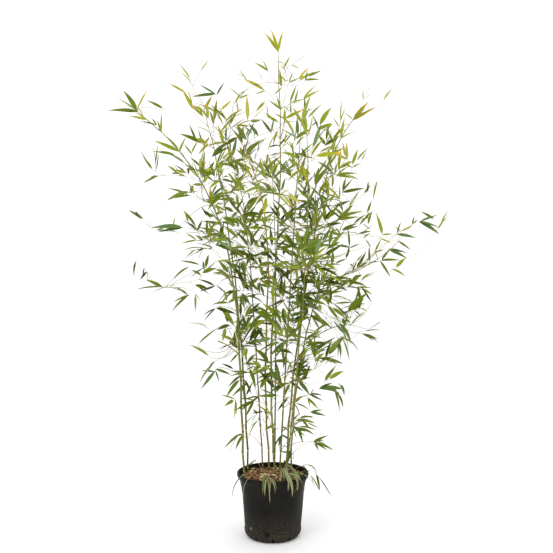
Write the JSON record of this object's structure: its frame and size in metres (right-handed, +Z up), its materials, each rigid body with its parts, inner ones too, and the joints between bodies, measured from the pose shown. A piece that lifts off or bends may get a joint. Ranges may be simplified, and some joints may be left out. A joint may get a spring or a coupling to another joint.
{
  "type": "potted bamboo",
  "caption": "Tall clumping bamboo in a round black nursery pot topped with bark mulch: slender leaning canes, thin side boughs and airy tufts of narrow leaves.",
  "frame": {"origin": "centre of the pot's flat underside", "axes": "+Z up, -Y towards the side that the plant is best seen from, +X to the right as seen from there"},
  "size_m": [1.153, 0.6, 1.701],
  "materials": {
    "pot": "matte",
    "soil": "matte",
    "cane": "satin",
    "golden_cane": "satin",
    "bough": "satin",
    "foliage": "satin"
  },
  "bodies": {
    "root": {"pot": "pot", "soil": "soil", "cane_west_arching": "cane", "cane_west_tall": "cane", "cane_rear_thin": "cane", "cane_golden": "golden_cane", "cane_leader": "cane", "cane_front": "cane", "cane_east_tall": "cane", "cane_east_short": "cane", "cane_front_thin": "cane", "cane_rear": "cane", "bough_right_arm": "bough", "bough_right_low": "bough", "bough_right_sprig": "bough", "bough_left_low": "bough", "bough_left_leaf_arm": "bough", "foliage_top_tip": "foliage", "foliage_top_right": "foliage", "foliage_top_front": "foliage", "foliage_top_left": "foliage", "foliage_upper_front": "foliage", "foliage_far_left_tip": "foliage", "foliage_left_high": "foliage", "foliage_left_peak": "foliage", "foliage_left_shoulder": "foliage", "foliage_left_wing": "foliage", "foliage_rear_left_high": "foliage", "foliage_front_left_high": "foliage", "foliage_right_sprig": "foliage", "foliage_right_high": "foliage", "foliage_front_right_high": "foliage", "foliage_right_shoulder": "foliage", "foliage_right_wing": "foliage", "foliage_front_upper": "foliage", "foliage_rear_upper": "foliage", "foliage_left_arm": "foliage", "foliage_left_middle": "foliage", "foliage_rear_left_middle": "foliage", "foliage_rear_right_middle": "foliage", "foliage_front_left_middle": "foliage", "foliage_right_middle": "foliage", "foliage_front_right_middle": "foliage", "foliage_left_lower": "foliage", "foliage_rear_lower": "foliage", "foliage_core": "foliage", "foliage_right_arm_root": "foliage", "foliage_right_arm": "foliage", "foliage_right_arm_tip": "foliage", "foliage_left_leaf_arm": "foliage", "foliage_left_low_arm": "foliage", "foliage_right_low": "foliage", "foliage_front_right_low": "foliage", "foliage_left_low": "foliage", "foliage_rear_low": "foliage", "foliage_front_low": "foliage", "foliage_right_foot": "foliage", "foliage_left_foot": "foliage", "foliage_core_foot": "foliage", "foliage_front_foot": "foliage"}
  },
  "joints": []
}
